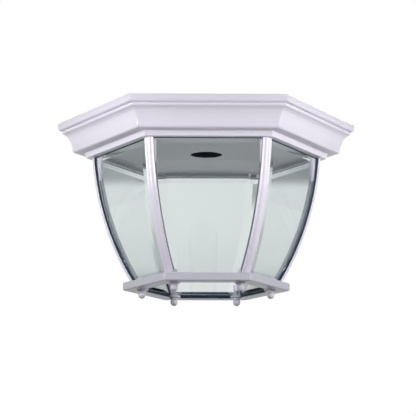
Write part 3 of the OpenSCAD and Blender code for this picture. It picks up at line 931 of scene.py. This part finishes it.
def build():
    """Makes every piece in its place, and gives the rest of the nodes their finishes."""
    white = powder_coat("white_powder_coat", rgb(0.765, 0.73, 0.82), rgb(0.80, 0.765, 0.855), 0.45)
    # A darker copy of the white coat for the ring: painted shade, for the less light that reaches
    # it low down.
    shaded_white = powder_coat(
        "dull_white_powder_coat", rgb(0.56, 0.56, 0.63), rgb(0.60, 0.60, 0.67), 0.3)
    # The ball nuts' coat is glossier, and its brighter base colour is painted light, since they get
    # less lamp light.
    glossy_lit_white = powder_coat(
        "gloss_white_powder_coat", rgb(0.80, 0.775, 0.85), rgb(0.84, 0.81, 0.89), 1.0)
    # A grey with foam cells, used only for the painted shade strips on the curb and on the webs.
    shade_grey = foam("shade_grey", rgb(0.17, 0.19, 0.21), rgb(0.25, 0.27, 0.29))
    black_foam = foam("black_gasket_foam", rgb(0.02, 0.02, 0.024), rgb(0.06, 0.06, 0.066))
    clear = plate_glass()
    rubber = seal_rubber()
    dress(canopy_casting(), white, "housing", "white_paint", "canopy")
    # The ring takes the darker copy of the white coat, which is painted shade.
    dress(ring_casting(), shaded_white, "bottom_ring", "white_paint", "bottom_ring")
    # A dark strip on the curb's inner face, which is painted shade.
    dress(curb_shade_strip(), shade_grey, "housing", "dark_seal")
    rib, pane, nut = rib_casting(), pane_glass(), ball_nut()
    for i in range(SIDES):
        number = i + 1
        bar = turned(rib, f"rib_casting_{number}", i * TURN)
        dress(bar, white, "housing", "white_paint", f"rib_{number}")
        ball = turned(nut, f"nut_turning_{number}", i * TURN)
        dress(ball, glossy_lit_white, f"ball_nut_{number}", "white_paint", f"ball_nut_{number}")
        sheet = turned(pane, f"pane_glass_{number}", (i + 0.5) * TURN)
        dress(sheet, clear, "housing", "clear_glass", f"glass_{number}")
        sheet.visible_shadow = False
        sheet.visible_diffuse = False
    for pattern in (rib, pane, nut):
        bpy.data.objects.remove(pattern)
    dress(seal_strips(), rubber, "housing", "dark_seal", "glass_seals")
    # A dark strip under the lip, which is painted shade.
    dress(lip_shade_strip(), rubber, "housing", "dark_seal")
    # A dark strip round the ring's flange, which is painted shade.
    dress(ring_shade_strip(), rubber, "bottom_ring", "dark_seal")
    # Grey strips on the webs, which are painted shade.
    dress(web_shade_strips(), shade_grey, "housing", "dark_seal")
    paint_node(enamelled_sheet(), "reflector_pan", "canopy_screws")
    paint_node(black_foam, "ceiling_gasket")
    paint_node(
        zinc_plate(), "mounting_strap", "lampholder_bracket", "rib_screws", "holder_screws",
        "ring_studs")
    paint_node(black_moulding(), "lampholder_base", "lampholder_body")
    paint_node(brass(), "screw_shell", "centre_contact", "terminal_screws")
    paint_node(green_dip(), "earth_screw")


# Camera, floor and light

# The camera, as fitted to the photo. The focal length and the axis are in the photo's pixels.
CAMERA_D = 1750.2 * MM
CAMERA_Z = -406.5 * MM
CAMERA_PITCH = math.radians(10.516)
CAMERA_YAW = math.radians(1.021)
SENSOR = 36
IMAGE_W = 416
FOCAL_PX = 1862.8
AXIS_PX = 206.32
CLIP_END = 100

# The floor under the light, which fades to white behind it
FLOOR_Z = -0.95
FLOOR_R = 20
FLOOR_TONE = rgb(0.14, 0.145, 0.15)
FLOOR_FADE_R = (1.6, 2.6)
FLOOR_BACK_Y = (0.0, 1.2)
FLOOR_GLOW = 0.97
FLOOR_SEEN = 0.85

# Ramps of the backdrop, each from where it starts to where it is full. They go by the parts of a
# direction of length 1: x to the right, y away from the camera and z up.
BACK_Y = (0.2, 0.75)
FRONT_Y = (-0.5, -0.2)
RIGHT_X = (-0.05, 0.05)
MIDDLE_X = 0.018
ASIDE_XX = (0.0006, 0.0012)
CORNER_XX = (0.0003, 0.0009)
HORIZON_Z = (0.03, 0.06)
BAND_Z = (0.07, 0.09)
BAND_TOP_Z = (0.132, 0.15)
SHADE_Z = (0.14, 0.175)
DUSK_Z = (0.1905, 0.1975)
MIDDLE_DUSK_Z = (0.203, 0.212)
TOP_Z = (0.21, 0.25)

# How much each of them takes from the white, or gives
DUSK_LOSS = 0.54
RIGHT_DUSK_LOSS = 0.12
TOP_LOSS = 0.32
SHADE_GAIN = 0.1
RIGHT_LOSS = 0.06
CORNER_LOSS = 0.4
NAVY = rgb(0.012, 0.030, 0.055)
WHITE = rgb(1, 1, 1)


def camera():
    """The photo's camera, level from side to side and pitched up at the light."""
    data = bpy.data.cameras.new("camera")
    data.sensor_width = SENSOR
    data.lens = SENSOR * FOCAL_PX / IMAGE_W
    data.shift_x = (IMAGE_W / 2 - AXIS_PX) / IMAGE_W
    data.clip_end = CLIP_END
    eye = bpy.data.objects.new("camera", data)
    bpy.context.scene.collection.objects.link(eye)
    right = Vector((math.cos(CAMERA_YAW), -math.sin(CAMERA_YAW), 0))
    level = Vector((math.sin(CAMERA_YAW), math.cos(CAMERA_YAW), 0))
    ahead = level * math.cos(CAMERA_PITCH) + UP * math.sin(CAMERA_PITCH)
    turn = Matrix((right, right.cross(ahead), -ahead)).transposed().to_4x4()
    eye.matrix_world = Matrix.Translation(level * -CAMERA_D + UP * CAMERA_Z) @ turn
    bpy.context.scene.camera = eye


def studio_world():
    """The photo's backdrop, for light and for looks through glass; the camera sees plain white.

    It is white behind the light and navy on the camera's side. A faint band dims it low down at
    both sides, and higher up it turns grey, a little later in the middle. Rays through the glass
    that run level or down meet white as well, unless they turn back towards the camera.
    """
    world = bpy.data.worlds.new("studio")
    bpy.context.scene.world = world
    f = Finish(world)
    way = f.node("ShaderNodeTexCoord", output="Generated")
    across, depth, height = [
        f.node("ShaderNodeSeparateXYZ", None, {0: way}, axis) for axis in ("X", "Y", "Z")]
    right = across.between(*RIGHT_X)
    off = across - MIDDLE_X
    off_squared = off * off
    aside = off_squared.between(*ASIDE_XX)
    spread = aside + (1 - aside) * height.between(*MIDDLE_DUSK_Z)
    dusk = height.between(*DUSK_Z) * spread * (right * RIGHT_DUSK_LOSS + DUSK_LOSS)
    dim = dusk + height.between(*TOP_Z) * TOP_LOSS
    shade = (height.between(*SHADE_Z) * SHADE_GAIN + (1 - SHADE_GAIN)) * (1 - right * RIGHT_LOSS)
    low_band = height.between(*BAND_Z) * (1 - height.between(*BAND_TOP_Z))
    corner = off_squared.between(*CORNER_XX) * low_band * CORNER_LOSS
    wall = depth.between(*BACK_Y) * (1 - dim) * shade * (1 - corner)
    tint = f.blend(wall, NAVY, WHITE)
    glow = f.node("ShaderNodeBackground", None, {"Color": tint, "Strength": 1.0})
    plain = f.node("ShaderNodeBackground", None, {"Color": WHITE, "Strength": 1.0})
    seen = f.node("ShaderNodeLightPath", output="Is Camera Ray")
    through = f.node("ShaderNodeLightPath", output="Is Transmission Ray")
    horizon = through * (1 - height.between(*HORIZON_Z)) * depth.between(*FRONT_Y)
    f.output(f.node("ShaderNodeMixShader", None, {0: seen + horizon, 1: glow, 2: plain}))


def pale_floor():
    """A pale floor under the light that fades into the white surroundings."""
    bpy.ops.object.select_all(action="DESELECT")
    bpy.ops.mesh.primitive_circle_add(
        vertices=2 * ROUND_SIDES, radius=FLOOR_R, fill_type="NGON", location=(0, 0, FLOOR_Z))
    floor = bpy.context.object
    floor.name = "floor"
    bpy.ops.object.transform_apply(location=True, rotation=True, scale=True)
    f = new_finish("pale_floor")
    matt = f.node("ShaderNodeBsdfDiffuse", None, {"Color": FLOOR_TONE})
    white = f.node("ShaderNodeEmission", None, {"Color": WHITE, "Strength": FLOOR_GLOW})
    spot = f.node("ShaderNodeVectorMath", {"operation": "LENGTH"}, {0: f.place()}, "Value")
    seen = f.node("ShaderNodeLightPath", output="Is Camera Ray")
    through = f.node("ShaderNodeLightPath", output="Is Transmission Ray")
    back = f.node("ShaderNodeSeparateXYZ", None, {0: f.place()}, "Y").between(*FLOOR_BACK_Y)
    far = spot.between(*FLOOR_FADE_R) * back
    share = far.maths("MAXIMUM", far, (seen + through) * FLOOR_SEEN)
    surface = f.node("ShaderNodeMixShader", None, {0: share, 1: matt, 2: white})
    floor.data.materials.append(f.output(surface))


def softbox(name, place, width, power, aim_z, spread=180):
    """A square lamp, aimed at a height on the axis, that camera and glass don't show.

    A spread under 180 degrees narrows its beam, as a grid does.
    """
    data = bpy.data.lights.new(name, "AREA")
    data.size = width
    data.energy = power
    data.spread = math.radians(spread)
    lamp = bpy.data.objects.new(name, data)
    bpy.context.scene.collection.objects.link(lamp)
    aim = (UP * aim_z - Vector(place)).to_track_quat("-Z", "Y").to_matrix().to_4x4()
    lamp.matrix_world = Matrix.Translation(place) @ aim
    lamp.visible_camera = False
    lamp.visible_transmission = False


def studio():
    """Camera, surroundings and four soft lamps."""
    bpy.context.scene.view_settings.view_transform = "Standard"
    camera()
    studio_world()
    pale_floor()
    softbox("key_right", (0.46, -0.40, -0.04), width=0.28, power=0.82, aim_z=-0.01, spread=105)
    softbox("fill_left", (-0.46, -0.40, -0.04), width=0.28, power=0.99, aim_z=-0.01, spread=105)
    softbox("low_fill", (0.85, -0.35, -0.42), width=0.4, power=1.6, aim_z=-0.12)
    softbox("top_back", (0.45, 0.8, 0.7), width=0.5, power=6, aim_z=0, spread=110)


build()
studio()
